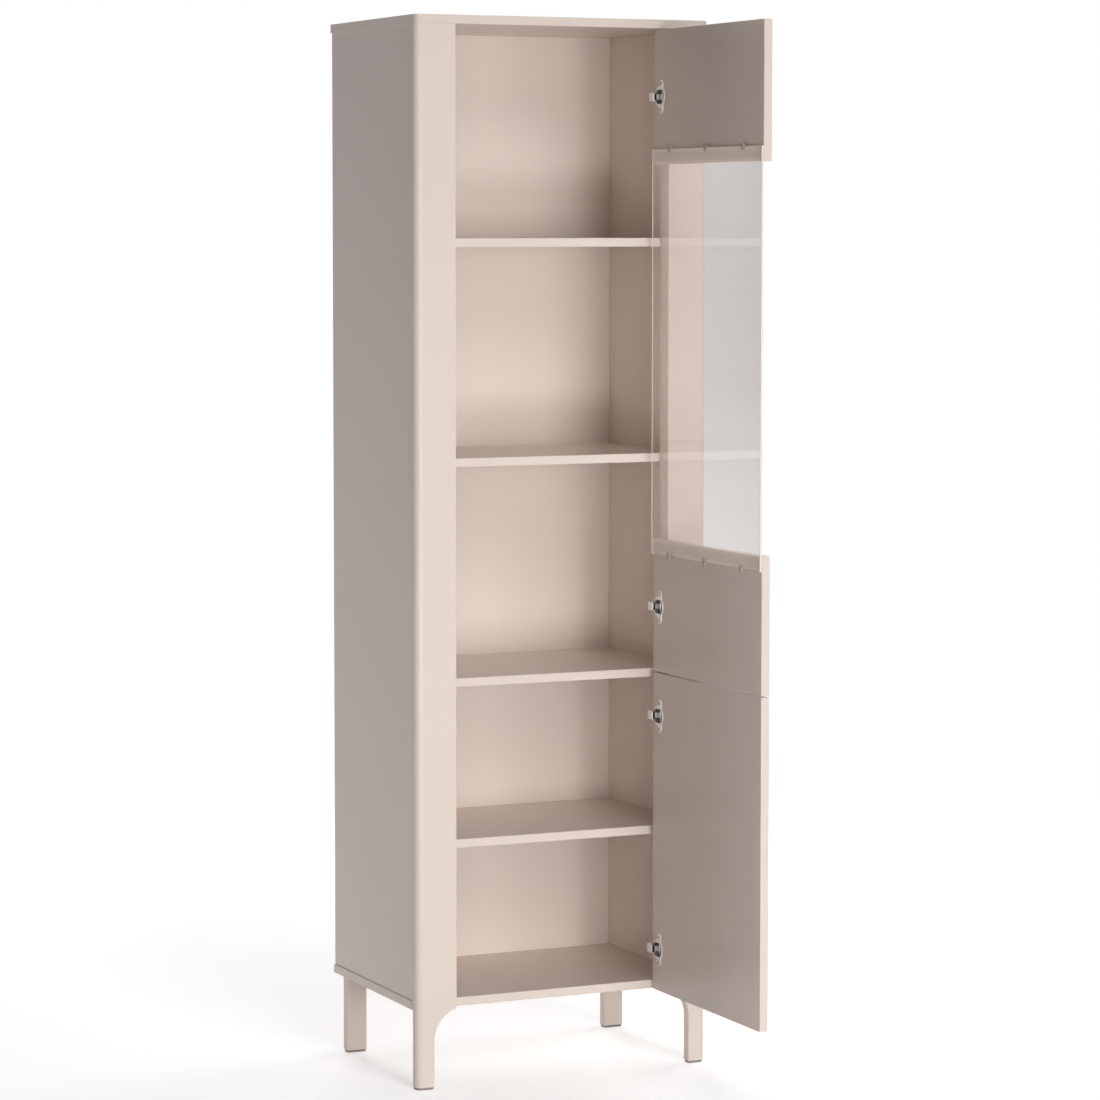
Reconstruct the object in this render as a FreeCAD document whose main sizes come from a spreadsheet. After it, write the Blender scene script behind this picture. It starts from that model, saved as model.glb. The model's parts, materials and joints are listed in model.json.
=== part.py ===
import FreeCAD, Part
import os
import re
import Sketcher

# A tall display cabinet on legs, with an upper door that is part glass and a plain lower door.
# The origin is on the floor, at the middle of the width, in the plane of the stiles' front faces.
# +X is to the right of someone in front of it, +Y runs to the back and +Z is up.
# The doors hang on the right and are modelled open by a quarter turn.

doc = FreeCAD.newDocument("Display_cabinet")

# Driving dimensions in millimetres, and shares
sizes = {
    # case
    "overall_width": 589.0,
    "overall_height": 1950.0,
    "case_depth": 410.0,
    "board": 16.0,
    "side_recess": 3.0,
    "floor_clearance": 145.0,
    "floor_setback": 3.0,
    "corner_radius": 12.5,
    "edge_round": 0.8,
    "back_thickness": 3.0,
    "back_inset": 26.0,
    "groove_depth": 6.0,
    "groove_play": 0.15,
    # stiles, jamb strips and legs
    "stile_width": 79.0,
    "stile_thickness": 20.0,
    "jamb_depth": 16.0,
    "leg_width": 35.0,
    "leg_straight": 90.0,
    "leg_arc_radius": 58.0,
    "rear_leg_width": 39.0,
    "rear_leg_thickness": 21.0,
    "rear_leg_recess": 3.6,
    "rear_leg_setback": 41.0,
    "glide_thickness": 4.0,
    "glide_inset": 1.5,
    # shelves
    "fixed_shelf_share": 0.331,
    "high_shelf_share": 0.6762,
    "low_shelf_share": 0.3392,
    "base_shelf_share": 0.494,
    "shelf_end_play": 1.0,
    "shelf_edge_play": 0.5,
    "shelf_pin_radius": 2.5,
    "shelf_pin_sink": 9.0,
    "shelf_pin_reach": 9.0,
    "shelf_pin_inset": 45.0,
    "shelf_collar_radius": 4.0,
    "shelf_collar_height": 1.5,
    # doors and glass
    "door_gap": 2.0,
    "door_top_gap": 2.0,
    "door_base_lift": 0.5,
    "split_drop": 3.6,
    "split_gap": 3.0,
    "door_panel_height": 247.0,
    "glass_thickness": 4.0,
    "glass_overlap": 27.5,
    "glass_edge_round": 0.5,
    "tape_thickness": 0.5,
    "tape_margin": 6.0,
    "clip_radius": 7.0,
    "clip_thickness": 2.0,
    "clip_hub_radius": 3.4,
    "clip_play": 0.3,
    # hinges
    "pivot_inset": 11.5,
    "pivot_depth": 6.3,
    "hinge_drop_upper": 123.0,
    "hinge_rise_upper": 121.0,
    "hinge_drop_lower": 80.0,
    "hinge_rise_lower": 77.5,
    "hinge_pin_radius": 1.0,
    "hinge_pin_play": 0.05,
    "hinge_pin_end_play": 0.3,
    "cup_radius": 17.35,
    "cup_play": 0.15,
    "cup_depth": 12.8,
    "cup_wall": 0.9,
    "cup_floor": 0.8,
    "cup_mouth_height": 26.0,
    "cup_inset": 22.5,
    "flange_thickness": 1.2,
    "flange_ring": 1.6,
    "flange_lug_radius": 6.5,
    "cup_screw_rise": 24.0,
    "cup_screw_setback": 6.0,
    "arm_thickness": 1.6,
    "arm_neck_width": 10.0,
    "arm_width": 15.0,
    "arm_lip": 3.2,
    "arm_lip_start": 4.0,
    "arm_eye_radius": 2.0,
    "swing_play": 1.5,
    "plate_thickness": 2.0,
    "plate_depth": 14.0,
    "plate_height": 48.0,
    "plate_screw_rise": 16.0,
    "saddle_height": 5.0,
    "saddle_width": 13.0,
    # push latches
    "latch_drop": 60.0,
    "latch_gap": 0.3,
    "latch_width": 8.0,
    "latch_height": 10.0,
    "latch_length": 36.0,
    "latch_end_wall": 3.0,
    "latch_wing_thickness": 2.0,
    "latch_wing_height": 34.0,
    "latch_screw_rise": 12.0,
    "plunger_radius": 2.5,
    "plunger_play": 0.08,
    "plunger_proud": 3.5,
    "plunger_length": 27.0,
    "spring_radius": 2.2,
    "spring_wire": 0.4,
    "spring_end_play": 0.2,
    # fasteners
    "fit_play": 0.05,
    "end_play": 0.5,
    "dowel_radius": 4.0,
    "dowel_length": 30.0,
    "dowel_sink": 11.0,
    "case_screw_radius": 3.0,
    "case_screw_length": 46.0,
    "case_screw_head_radius": 5.0,
    "case_screw_head_height": 4.0,
    "cap_radius": 6.0,
    "cap_height": 0.8,
    "cam_radius": 7.4,
    "cam_height": 12.5,
    "cam_inset": 24.0,
    "cam_bolt_radius": 3.0,
    "cam_bolt_sink": 11.0,
    "jamb_screw_radius": 2.0,
    "jamb_screw_length": 27.0,
    "jamb_screw_head_radius": 4.0,
    "jamb_screw_head_height": 2.5,
    "arm_screw_radius": 2.0,
    "arm_screw_length": 7.0,
    "arm_screw_head_radius": 3.5,
    "arm_screw_head_height": 1.5,
    "small_screw_radius": 1.75,
    "small_screw_length": 12.0,
    "small_screw_head_radius": 3.2,
    "small_screw_head_height": 1.5,
    "leg_dowel_inset": 10.0,
    "leg_screw_inset": 27.0,
    "cut_overrun": 2.0,
}

# Where along their boards the repeated fasteners and clips sit
top_dowel_shares = (0.12, 0.5, 0.88)
case_screw_shares = (0.15, 0.5, 0.95)
stile_dowel_shares = (0.05, 0.275, 0.5, 0.725, 0.95)
stile_head_shares = (0.35, 0.8)
stile_foot_share = 0.5
jamb_screw_shares = (0.06, 0.24, 0.5, 0.72, 0.89)
cam_shares = (0.2, 0.8)
clip_shares = (1 / 6, 1 / 2, 5 / 6)
head_taper_share = 0.72
cross_length_share = 1.1
cross_width_share = 0.24
cross_depth_share = 0.6

# Places and lengths that follow from the driving dimensions
places = {
    "half_width": "overall_width/2",
    "inner_face": "half_width - side_recess - board",
    "side_middle": "half_width - side_recess - board/2",
    "side_depth": "case_depth - stile_thickness",
    "opening_half": "half_width - stile_width",
    "jamb_middle": "opening_half + board/2",
    "jamb_back": "stile_thickness + jamb_depth",
    "jamb_centre": "stile_thickness + jamb_depth/2",
    "floor_top": "floor_clearance + board",
    "top_under": "overall_height - board",
    "case_height": "top_under - floor_top",
    "back_face": "case_depth - back_inset - back_thickness",
    "fixed_top": "floor_top + fixed_shelf_share*case_height",
    "upper_bay": "top_under - fixed_top",
    "high_top": "fixed_top + high_shelf_share*upper_bay",
    "low_top": "fixed_top + low_shelf_share*upper_bay",
    "base_top": "floor_top + base_shelf_share*(fixed_top - floor_top)",
    "shelf_half": "inner_face - shelf_end_play",
    "shelf_front": "jamb_back + shelf_edge_play",
    "shelf_depth": "back_face - jamb_back - 2*shelf_edge_play",
    "rear_leg_front": "case_depth - rear_leg_setback - rear_leg_thickness",
    "rear_leg_left": "rear_leg_recess - half_width",
    "rear_leg_middle": "rear_leg_front + rear_leg_thickness/2",
    "leg_dowel_x": "rear_leg_left + leg_dowel_inset",
    "leg_screw_x": "rear_leg_left + leg_screw_inset",
    "door_width": "2*(opening_half - door_gap)",
    "pivot_x": "opening_half - door_gap - pivot_inset",
    "door_outer_x": "pivot_x + pivot_depth",
    "door_inner_x": "door_outer_x - board",
    "door_free_y": "pivot_depth + pivot_inset - door_width",
    "door_hinge_y": "pivot_depth + pivot_inset",
    "upper_base": "fixed_top - split_drop + split_gap/2",
    "upper_head": "top_under - door_top_gap",
    "lower_base": "floor_clearance + door_base_lift",
    "lower_head": "fixed_top - split_drop - split_gap/2",
    "top_part_base": "upper_head - door_panel_height",
    "glass_base": "upper_base + door_panel_height - glass_overlap",
    "glass_head": "upper_head - door_panel_height + glass_overlap",
    "glass_back_x": "door_inner_x - tape_thickness",
    "glass_face_x": "glass_back_x - glass_thickness",
    "hinge_upper_top": "upper_head - hinge_drop_upper",
    "hinge_upper_bottom": "upper_base + hinge_rise_upper",
    "hinge_lower_top": "lower_head - hinge_drop_lower",
    "hinge_lower_bottom": "lower_base + hinge_rise_lower",
    "cup_y": "door_hinge_y - cup_inset",
    "cup_screw_y": "cup_y - cup_screw_setback",
    "cup_face_x": "door_inner_x - flange_thickness",
    "cup_bore": "cup_radius - cup_wall",
    "pin_offset": "cup_inset - pivot_inset + hinge_pin_radius",
    "pin_half": "sqrt(cup_radius^2 - pin_offset^2) - hinge_pin_end_play",
    "swing_radius": "sqrt(pivot_inset^2 + (board - pivot_depth)^2)",
    "arm_reach": "swing_radius + swing_play + arm_thickness/2",
    "riser_x": "pivot_x - arm_reach",
    "bridge_y": "pivot_depth + arm_reach",
    "plate_front": "jamb_centre - plate_depth/2",
    "plate_face_x": "opening_half - plate_thickness",
    "saddle_face_x": "plate_face_x - saddle_height",
    "arm_face_x": "saddle_face_x - arm_thickness",
    "tail_x": "saddle_face_x - arm_thickness/2",
    "arm_screw_y": "(bridge_y + plate_front + plate_depth)/2",
    "latch_upper": "upper_head - latch_drop",
    "latch_lower": "lower_head - latch_drop",
    "latch_axis_x": "latch_width/2 - opening_half",
    "latch_wing_face_x": "latch_wing_thickness - opening_half",
    "plunger_tip": "board + latch_gap",
    "plunger_end": "plunger_tip + plunger_length",
    "latch_front": "plunger_tip + plunger_proud",
    "latch_floor": "latch_front + latch_length - latch_end_wall",
}

sheet = doc.addObject("Spreadsheet::Sheet", "Sizes")
for row, (name, number) in enumerate(sizes.items(), start=1):
    sheet.set("A%d" % row, name)
    sheet.set("B%d" % row, str(number))
    sheet.setAlias("B%d" % row, name)
doc.recompute()

# Turns, named for the way that a piece's own Z axis then faces
right_angle = 90
along_x = FreeCAD.Vector(1, 0, 0)
along_y = FreeCAD.Vector(0, 1, 0)
along_z = FreeCAD.Vector(0, 0, 1)
facing_up = FreeCAD.Rotation()
facing_down = FreeCAD.Rotation(along_x, 2 * right_angle)
facing_right = FreeCAD.Rotation(along_y, right_angle)
facing_left = FreeCAD.Rotation(along_y, -right_angle)
facing_back = FreeCAD.Rotation(along_x, -right_angle)
facing_front = FreeCAD.Rotation(along_x, right_angle)
half_turn = FreeCAD.Rotation(along_z, 2 * right_angle)
door_turn = FreeCAD.Rotation(along_z, right_angle)


# Formulas in plain size names

def size(formula):
    def sheet_word(match):
        word = match.group()
        if word in places:
            return "(" + size(places[word]) + ")"
        if word in sizes:
            return "Sizes." + word
        return word
    return re.sub(r"[a-z_]+", sheet_word, formula)


def bind(item, **formulas):
    for prop, formula in formulas.items():
        item.setExpression(prop, size(formula))


def place(item, spot, turn=facing_up):
    item.Placement = FreeCAD.Placement(FreeCAD.Vector(), turn)
    for axis, formula in zip("xyz", spot):
        item.setExpression("Placement.Base." + axis, size(formula))


def spread(start, length, shares):
    return ["%s + %.6f*(%s)" % (start, share, length) for share in shares]


# Boards: a padded outline with rounded edges, grooves and drilled holes

corners = {}
extents = {}

# For each face of a board: its origin plane, the extent it lies at, the sign of that lift,
# whether a cut into the board is reversed, and the two axes of a sketch on it
board_faces = {
    "left": ("YZ_Plane", 0, 0, True, (1, 2)),
    "right": ("YZ_Plane", 0, 1, False, (1, 2)),
    "front": ("XZ_Plane", 1, 0, False, (0, 2)),
    "back": ("XZ_Plane", 1, -1, True, (0, 2)),
    "under": ("XY_Plane", 2, 0, True, (0, 1)),
    "upper": ("XY_Plane", 2, 1, False, (0, 1)),
}


def sketch_on(body, face):
    role, axis, sign, _, _ = board_faces[face]
    sketch = body.newObject("Sketcher::SketchObject", body.Name + "_" + face)
    sketch.AttachmentSupport = [(f, "") for f in body.Origin.OriginFeatures if f.Role == role]
    sketch.MapMode = "FlatFace"
    if sign:
        bind(sketch, **{"AttachmentOffset.Base.z": "%d*(%s)" % (sign, extents[body.Name][axis])})
    return sketch


def measure(sketch, kind, formula, *ends):
    index = sketch.addConstraint(Sketcher.Constraint(kind, *ends, 1.0))
    bind(sketch, **{"Constraints[%d]" % index: formula})


def draw_rectangle(sketch, low, span):
    unit = [FreeCAD.Vector(x, y, 0) for x, y in ((0, 0), (1, 0), (1, 1), (0, 1))]
    lines = [sketch.addGeometry(Part.LineSegment(unit[n], unit[(n + 1) % 4]), False) for n in range(4)]
    for n in range(4):
        sketch.addConstraint(Sketcher.Constraint("Coincident", lines[n], 2, lines[(n + 1) % 4], 1))
        sketch.addConstraint(Sketcher.Constraint(("Horizontal", "Vertical")[n % 2], lines[n]))
    measure(sketch, "DistanceX", span[0], lines[0], 1, lines[0], 2)
    measure(sketch, "DistanceY", span[1], lines[1], 1, lines[1], 2)
    measure(sketch, "DistanceX", low[0], -1, 1, lines[0], 1)
    measure(sketch, "DistanceY", low[1], -1, 1, lines[0], 1)


def draw_circle(sketch, centre, radius):
    unit = Part.Circle(FreeCAD.Vector(1, 1, 0), along_z, 1)
    circle = sketch.addGeometry(unit, False)
    measure(sketch, "Radius", radius, circle)
    measure(sketch, "DistanceX", centre[0], -1, 1, circle, 3)
    measure(sketch, "DistanceY", centre[1], -1, 1, circle, 3)


def make_board(label, corner, extent, turn=facing_up, local=("0", "0")):
    # local is where the board's own frame starts, for boards that are turned with a door
    body = doc.addObject("PartDesign::Body", label)
    corners[body.Name] = corner if turn is facing_up else (local[0], local[1], corner[2])
    extents[body.Name] = extent
    place(body, corner, turn)
    sketch = sketch_on(body, "under")
    draw_rectangle(sketch, ("0", "0"), extent[:2])
    pad = body.newObject("PartDesign::Pad", label + "_stock")
    pad.Profile = sketch
    bind(pad, Length=extent[2])
    return body


def own(body, axis, formula):
    return "(%s) - (%s)" % (formula, corners[body.Name][axis])


def cut(body, sketch, face, depth):
    pocket = body.newObject("PartDesign::Pocket", sketch.Name + "_cut")
    pocket.Profile = sketch
    pocket.Reversed = board_faces[face][3]
    bind(pocket, Length=depth)


def groove(body, face, low, span, depth):
    across, up = board_faces[face][4]
    sketch = sketch_on(body, face)
    draw_rectangle(sketch, (own(body, across, low[0]), own(body, up, low[1])), span)
    cut(body, sketch, face, depth)


def drill(body, face, spots, radius, depth):
    across, up = board_faces[face][4]
    sketch = sketch_on(body, face)
    for spot in spots:
        draw_circle(sketch, (own(body, across, spot[across]), own(body, up, spot[up])), radius)
    cut(body, sketch, face, depth)


def same(first, second):
    return abs(first - second) < 1e-6


def is_sharp(edge, shape):
    middle = edge.valueAt((edge.FirstParameter + edge.LastParameter) / 2)
    normals = []
    for face in shape.ancestorsOfType(edge, Part.Face):
        normals.append(face.normalAt(*face.Surface.parameter(middle)))
    return len(normals) == 2 and abs(normals[0].dot(normals[1])) < 0.9


def is_front_corner(edge, shape, sides):
    box = shape.BoundBox
    wanted = [{"left": box.XMin, "right": box.XMax}[side] for side in sides]
    upright = same(edge.BoundBox.ZLength, edge.Length)
    at_front = same(edge.BoundBox.YMax, box.YMin)
    return upright and at_front and any(same(edge.BoundBox.Center.x, x) for x in wanted)


def round_edges(body, radius, chosen):
    doc.recompute()
    base = body.Tip
    names = ["Edge%d" % n for n, edge in enumerate(base.Shape.Edges, start=1) if chosen(edge, base.Shape)]
    fillet = body.newObject("PartDesign::Fillet", body.Name + "_round")
    fillet.Base = (base, names)
    bind(fillet, Radius=radius)


def ease(body, radius="edge_round"):
    round_edges(body, radius, is_sharp)


def round_front(body, *sides):
    round_edges(body, "corner_radius", lambda edge, shape: is_front_corner(edge, shape, sides))


# Hardware: primitives, joined and cut, and groups of equal fasteners

def block(name, low, span):
    box = doc.addObject("Part::Box", name)
    place(box, low)
    bind(box, Length=span[0], Width=span[1], Height=span[2])
    return box


def rod(name, start, radius, length, turn=facing_up):
    cylinder = doc.addObject("Part::Cylinder", name)
    place(cylinder, start, turn)
    bind(cylinder, Radius=radius, Height=length)
    return cylinder


def join(name, pieces):
    union = doc.addObject("Part::MultiFuse", name)
    union.Shapes = pieces
    union.Refine = True
    return union


def carve(name, base, tools):
    rest = doc.addObject("Part::Cut", name)
    rest.Base = base
    rest.Tool = tools[0] if len(tools) == 1 else join(name + "_tools", tools)
    rest.Refine = True
    return rest


def gather(name, pieces):
    group = doc.addObject("Part::Compound", name)
    group.Links = pieces
    return group


def copies(name, master, spots):
    # Each spot is a place and the turn of the master's own Z axis
    links = []
    for spot, turn in spots:
        link = doc.addObject("App::Link", name + "_copy")
        link.LinkedObject = master
        link.LinkTransform = True
        place(link, spot, turn)
        links.append(link)
    return gather(name, links)


def make_screw(kind):
    # The shank points down from the seat of the head at zero, and the head has a cross recess
    shank = rod(kind + "_shank", ("0", "0", "-%s_length" % kind), kind + "_radius", kind + "_length")
    head = doc.addObject("Part::Cone", kind + "_head")
    radius = kind + "_head_radius"
    height = kind + "_head_height"
    bind(head, Radius1=radius, Radius2="%f*%s" % (head_taper_share, radius), Height=height)
    long = "%f*%s" % (cross_length_share, radius)
    wide = "%f*%s" % (cross_width_share, radius)
    floor = "%f*%s" % (1 - cross_depth_share, height)
    first = block(kind + "_cross", ("-%s/2" % long, "-%s/2" % wide, floor), (long, wide, height))
    second = block(kind + "_cross", ("-%s/2" % wide, "-%s/2" % long, floor), (wide, long, height))
    return carve(kind, join(kind + "_stem", [shank, head]), [first, second])


def hole(radius):
    return radius + " + fit_play"


def sink(depth):
    return depth + " + end_play"


# Fastener places, shared by the fasteners and their holes

side_y = spread("stile_thickness", "side_depth", top_dowel_shares)
top_dowels = [("-(side_middle)", y, "top_under") for y in side_y]
stile_tops = spread("-half_width", "stile_width", stile_head_shares)
stile_dowels = [(x, "stile_thickness/2", "top_under") for x in stile_tops]
edge_z = spread("floor_top", "case_height", stile_dowel_shares)
edge_dowels = [("-(side_middle)", "stile_thickness", z) for z in edge_z]
foot_x = spread("-half_width", "stile_width", (stile_foot_share,))[0]
foot_dowels = [(foot_x, "stile_thickness", "floor_clearance + board/2")]
leg_dowels = [("leg_dowel_x", "rear_leg_middle", "floor_clearance")]
leg_screws = [("leg_screw_x", "rear_leg_middle", "floor_top - case_screw_head_height")]
screw_y = spread("stile_thickness", "side_depth", case_screw_shares)
case_screws = [("-(side_middle)", y, "floor_clearance + case_screw_head_height") for y in screw_y]
jamb_z = spread("floor_top", "case_height", jamb_screw_shares)
jamb_seat = "jamb_back - jamb_screw_head_height"
cam_y = spread("jamb_back", "back_face - jamb_back", cam_shares)
cam_bolts = [("-inner_face", y, "fixed_top - board/2") for y in cam_y]
loose_shelves = {"upper_shelf_high": "high_top", "upper_shelf_low": "low_top", "lower_shelf": "base_top"}
shelf_pins = []
for top in loose_shelves.values():
    for y in ("jamb_back + shelf_pin_inset", "back_face - shelf_pin_inset"):
        shelf_pins.append(("-inner_face", y, top + " - board - shelf_pin_radius"))


def opposite(spots):
    return [("-(%s)" % x, y, z) for x, y, z in spots]


def both(spots):
    return spots + opposite(spots)


# Top and bottom panel

groove_start = "back_face - groove_play"
groove_width = "back_thickness + 2*groove_play"
groove_low = "-inner_face - groove_depth"
groove_span = "2*(inner_face + groove_depth)"

top_panel = make_board(
    "top_panel", ("-half_width", "0", "top_under"), ("overall_width", "case_depth", "board"))
round_front(top_panel, "left", "right")
ease(top_panel)
groove(top_panel, "under", (groove_low, groove_start), (groove_span, groove_width), "groove_depth")
drill(top_panel, "under", both(top_dowels + stile_dowels), hole("dowel_radius"), sink("dowel_sink"))

bottom_panel = make_board(
    "bottom_panel", ("-half_width", "stile_thickness", "floor_clearance"),
    ("overall_width", "side_depth", "board"))
round_front(bottom_panel, "left", "right")
groove(bottom_panel, "upper", ("-opening_half", "stile_thickness - cut_overrun"),
       ("2*opening_half", "floor_setback + cut_overrun"), "board + cut_overrun")
ease(bottom_panel)
groove(bottom_panel, "upper", (groove_low, groove_start), (groove_span, groove_width), "groove_depth")
drill(bottom_panel, "under", both(case_screws), hole("case_screw_head_radius"), "case_screw_head_height")
drill(bottom_panel, "under", both(case_screws + leg_screws), hole("case_screw_radius"), "board + cut_overrun")
drill(bottom_panel, "upper", both(leg_screws), hole("case_screw_head_radius"), "case_screw_head_height")
drill(bottom_panel, "under", both(leg_dowels), hole("dowel_radius"), sink("dowel_sink"))
drill(bottom_panel, "front", both(foot_dowels), hole("dowel_radius"), sink("dowel_length - dowel_sink"))

# Side panels and back

side_left = make_board(
    "side_panel_left", ("side_recess - half_width", "stile_thickness", "floor_top"),
    ("board", "side_depth", "case_height"))
ease(side_left)
groove(side_left, "right", (groove_start, "floor_top - cut_overrun"),
       (groove_width, "case_height + 2*cut_overrun"), "groove_depth")
drill(side_left, "upper", top_dowels, hole("dowel_radius"), sink("dowel_length - dowel_sink"))
drill(side_left, "front", edge_dowels, hole("dowel_radius"), sink("dowel_length - dowel_sink"))
screw_sink = "case_screw_length + case_screw_head_height - board"
drill(side_left, "under", case_screws, hole("case_screw_radius"), sink(screw_sink))
drill(side_left, "right", shelf_pins, hole("shelf_pin_radius"), sink("shelf_pin_sink"))
drill(side_left, "right", cam_bolts, hole("cam_bolt_radius"), sink("cam_bolt_sink"))

make_board(
    "back_panel",
    (groove_low + " + groove_play", "back_face", "floor_top - groove_depth + groove_play"),
    (groove_span + " - 2*groove_play", "back_thickness", "case_height + 2*(groove_depth - groove_play)"))

# Stiles, which run down into the front legs

stile_left = make_board(
    "stile_left", ("-half_width", "0", "glide_thickness"),
    ("stile_width", "stile_thickness", "top_under - glide_thickness"))
leg_inside = "leg_width - half_width"
stile_through = "stile_thickness + cut_overrun"
groove(stile_left, "front", (leg_inside, "glide_thickness - cut_overrun"),
       ("stile_width - leg_width + cut_overrun", "leg_straight - glide_thickness + cut_overrun"), stile_through)
arc_centre = (leg_inside + " + leg_arc_radius", "0", "leg_straight")
drill(stile_left, "front", [arc_centre], "leg_arc_radius", stile_through)
round_front(stile_left, "left")
ease(stile_left)
drill(stile_left, "upper", stile_dowels, hole("dowel_radius"), sink("dowel_length - dowel_sink"))
drill(stile_left, "back", edge_dowels + foot_dowels, hole("dowel_radius"), sink("dowel_sink"))
jamb_screws_left = [("-(jamb_middle)", jamb_seat, z) for z in jamb_z]
jamb_thread = "jamb_screw_length + jamb_screw_head_height - jamb_depth"
drill(stile_left, "back", jamb_screws_left, hole("jamb_screw_radius"), sink(jamb_thread))

# Jamb strips, which carry the hinge plates on the right and the latches on the left

hinge_heights = {
    "upper_top": "hinge_upper_top",
    "upper_bottom": "hinge_upper_bottom",
    "lower_top": "hinge_lower_top",
    "lower_bottom": "hinge_lower_bottom",
}
latch_heights = {"upper": "latch_upper", "lower": "latch_lower"}
plate_screws = []
for z in hinge_heights.values():
    for sign in ("+", "-"):
        plate_screws.append(("plate_face_x", "jamb_centre", "%s %s plate_screw_rise" % (z, sign)))
latch_screws = []
for z in latch_heights.values():
    for sign in ("+", "-"):
        latch_screws.append(("latch_wing_face_x", "jamb_centre", "%s %s latch_screw_rise" % (z, sign)))


def make_jamb(label, left, screws, face, own_screws, base_thickness):
    strip = make_board(label, (left, "stile_thickness", "floor_top"), ("board", "jamb_depth", "case_height"))
    ease(strip)
    drill(strip, "back", screws, hole("jamb_screw_head_radius"), "jamb_screw_head_height")
    drill(strip, "back", screws, hole("jamb_screw_radius"), "jamb_depth + cut_overrun")
    drill(strip, face, own_screws, hole("small_screw_radius"), sink("small_screw_length - " + base_thickness))


make_jamb("jamb_strip_left", "-opening_half - board", jamb_screws_left, "right",
          latch_screws, "latch_wing_thickness")
make_jamb("jamb_strip_right", "opening_half", opposite(jamb_screws_left), "left",
          plate_screws, "plate_thickness")

# Shelves

fixed_shelf = make_board(
    "fixed_shelf", ("-inner_face", "jamb_back", "fixed_top - board"),
    ("2*inner_face", "back_face - jamb_back", "board"))
ease(fixed_shelf)
cams = [("cam_inset - inner_face", y, "fixed_top - board") for y in cam_y]
drill(fixed_shelf, "under", both(cams), hole("cam_radius"), sink("cam_height"))
drill(fixed_shelf, "left", cam_bolts, hole("cam_bolt_radius"), "cam_inset")
drill(fixed_shelf, "right", opposite(cam_bolts), hole("cam_bolt_radius"), "cam_inset")
for label, top in loose_shelves.items():
    shelf = make_board(label, ("-shelf_half", "shelf_front", top + " - board"),
                       ("2*shelf_half", "shelf_depth", "board"))
    ease(shelf)

# Rear legs

rear_leg = make_board(
    "rear_leg_left", ("rear_leg_left", "rear_leg_front", "glide_thickness"),
    ("rear_leg_width", "rear_leg_thickness", "floor_clearance - glide_thickness"))
ease(rear_leg)
drill(rear_leg, "upper", leg_dowels, hole("dowel_radius"), sink("dowel_length - dowel_sink"))
drill(rear_leg, "upper", leg_screws, hole("case_screw_radius"), sink(screw_sink))


# Right-hand twins of the boards that are alike on both sides

def mirror(name, source):
    twin = doc.addObject("Part::Mirroring", name)
    twin.Source = source
    twin.Normal = along_x
    return twin


mirror("side_panel_right", side_left)
mirror("stile_right", stile_left)
mirror("rear_leg_right", rear_leg)


# Glides, a little smaller than the legs they stand under

def make_glides(label, corner, extent, front_rounded):
    glide = make_board(label + "_left",
                       (corner[0] + " + glide_inset", corner[1] + " + glide_inset", "0"),
                       (extent[0] + " - 2*glide_inset", extent[1] + " - 2*glide_inset", "glide_thickness"))
    if front_rounded:
        round_edges(glide, "corner_radius - glide_inset",
                    lambda edge, shape: is_front_corner(edge, shape, ["left"]))
    gather(label, [glide, mirror(label + "_right", glide)])


make_glides("front_leg_glides", ("-half_width", "0"), ("leg_width", "stile_thickness"), True)
make_glides("rear_leg_glides", ("rear_leg_left", "rear_leg_front"),
            ("rear_leg_width", "rear_leg_thickness"), False)

# Doors, in a frame of their own that starts at the free edge and the outer face


def make_door_board(label, base, height):
    return make_board(label, ("door_outer_x", "door_free_y", base), ("door_width", "board", height), door_turn)


def drill_for_hinges(panel, heights):
    cups = [("door_width - cup_inset", "board", z) for z in heights]
    screws = []
    for x, y, z in cups:
        for sign in ("+", "-"):
            screws.append((x + " - cup_screw_setback", y, "%s %s cup_screw_rise" % (z, sign)))
    drill(panel, "back", cups, "cup_radius + cup_play", sink("cup_depth"))
    drill(panel, "back", screws, hole("small_screw_radius"), sink("small_screw_length - flange_thickness"))


def drill_for_clips(panel, edge):
    clips = [(x, "board", edge) for x in spread("0", "door_width", clip_shares)]
    drill(panel, "back", clips, hole("small_screw_radius"), sink("small_screw_length"))


door_top = make_door_board("door_panel_top", "top_part_base", "door_panel_height")
ease(door_top)
drill_for_hinges(door_top, ["hinge_upper_top"])
drill_for_clips(door_top, "glass_head")

door_bottom = make_door_board("door_panel_bottom", "upper_base", "door_panel_height")
ease(door_bottom)
drill_for_hinges(door_bottom, ["hinge_upper_bottom"])
drill_for_clips(door_bottom, "glass_base")

lower_door = make_door_board("lower_door_panel", "lower_base", "lower_head - lower_base")
ease(lower_door)
drill_for_hinges(lower_door, ["hinge_lower_top", "hinge_lower_bottom"])

glass = make_board(
    "glass_pane", ("glass_back_x", "door_free_y", "glass_base"),
    ("door_width", "glass_thickness", "glass_head - glass_base"), door_turn)
ease(glass, "glass_edge_round")
notches = []
for x in spread("0", "door_width", clip_shares):
    notches.append((x, "0", "glass_base"))
    notches.append((x, "0", "glass_head"))
drill(glass, "front", notches, "clip_hub_radius + clip_play", "glass_thickness + cut_overrun")

tape_length = "door_width - 2*tape_margin"
tape_width = "glass_overlap - 2*tape_margin"
for label, base in (("glass_tape_top", "top_part_base"), ("glass_tape_bottom", "glass_base")):
    block(label, ("glass_back_x", "door_free_y + tape_margin", base + " + tape_margin"),
          ("tape_thickness", tape_length, tape_width))

# Fasteners

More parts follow.
